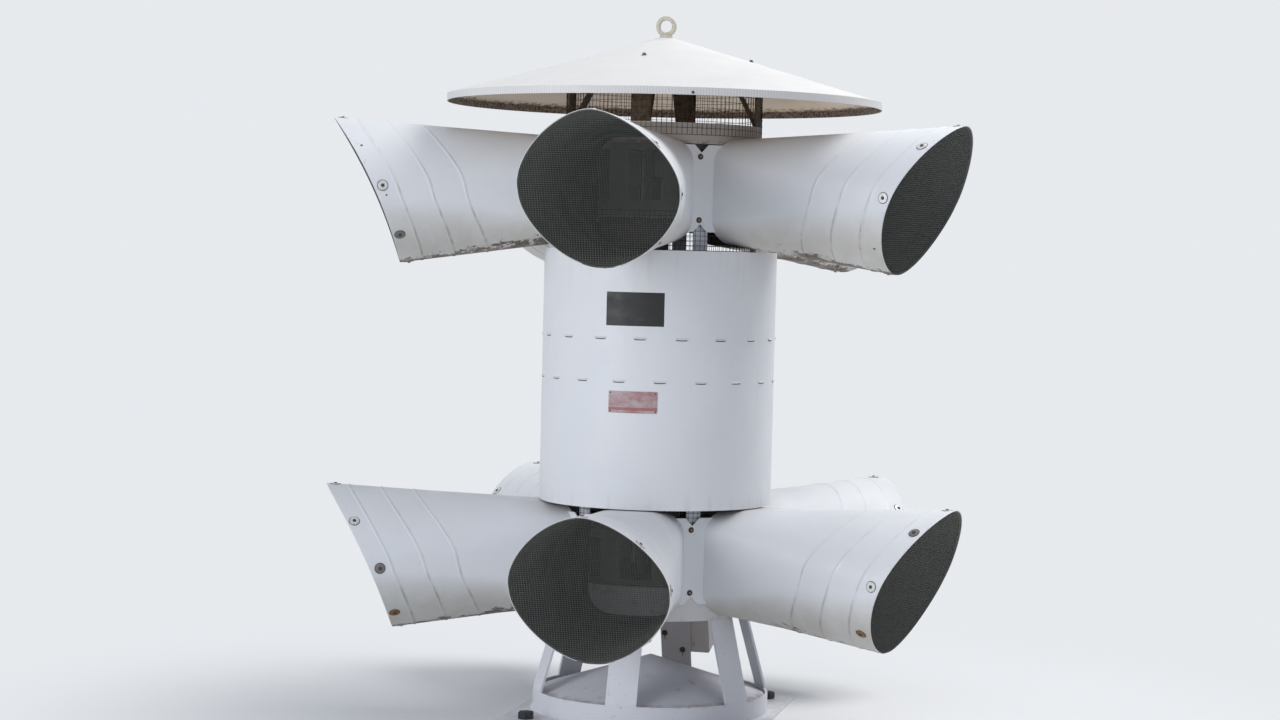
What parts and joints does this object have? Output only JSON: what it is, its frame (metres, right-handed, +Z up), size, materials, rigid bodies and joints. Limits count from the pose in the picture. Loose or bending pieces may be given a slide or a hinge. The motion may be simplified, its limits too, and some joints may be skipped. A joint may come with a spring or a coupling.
{
  "type": "civil defense siren head",
  "caption": "Outdoor warning siren head: two tiers of slant-cut horns round a cylinder, conical rain roof with lifting eye, legs on a drum and a square base plate.",
  "frame": {"origin": "on the vertical axis, at the underside of the base plate", "axes": "+Z up along the axis; -Y out along the front horns; +X to the right seen from the front"},
  "size_m": [2.4936, 2.4123, 2.7462],
  "materials": {
    "base_paint": "satin, weathered",
    "box_paint": "satin, rust streaked",
    "housing_paint": "satin, weathered",
    "horn_paint": "satin, weathered",
    "mouth_wire": "dull galvanised",
    "screen_wire": "dull, rusty",
    "rotor_metal": "matt",
    "motor_paint": "satin",
    "shroud_paint": "satin",
    "frame_paint": "satin",
    "bracket_steel": "rusty brown",
    "roof_paint": "satin",
    "eye_steel": "worn, rust spots"
  },
  "bodies": {
    "root": {"base_drum": "base_paint", "base_plate": "base_paint", "drum_cover": "base_paint", "eyebolt": "eye_steel", "frame_posts": "frame_paint", "junction_box": "box_paint", "leg_1": "base_paint", "leg_2": "base_paint", "leg_3": "base_paint", "leg_4": "base_paint", "leg_5": "base_paint", "leg_6": "base_paint", "lower_gap_screen": "screen_wire", "lower_horn_1": "horn_paint", "lower_horn_2": "horn_paint", "lower_horn_3": "horn_paint", "lower_horn_4": "horn_paint", "lower_horn_5": "horn_paint", "lower_mouth_screens": "mouth_wire", "lower_rotor": "rotor_metal", "lower_skirt": "housing_paint", "lower_stator": "housing_paint", "motor": "motor_paint", "neck_screen": "screen_wire", "roof": "roof_paint", "roof_bracket_1": "bracket_steel", "roof_bracket_2": "bracket_steel", "roof_bracket_3": "bracket_steel", "roof_bracket_4": "bracket_steel", "shroud": "shroud_paint", "shroud_brackets": "frame_paint", "upper_end_ring": "housing_paint", "upper_gap_screen": "screen_wire", "upper_horn_1": "horn_paint", "upper_horn_2": "horn_paint", "upper_horn_3": "horn_paint", "upper_horn_4": "horn_paint", "upper_horn_5": "horn_paint", "upper_mouth_screens": "mouth_wire", "upper_rotor": "rotor_metal", "upper_stator": "housing_paint"}
  },
  "joints": []
}
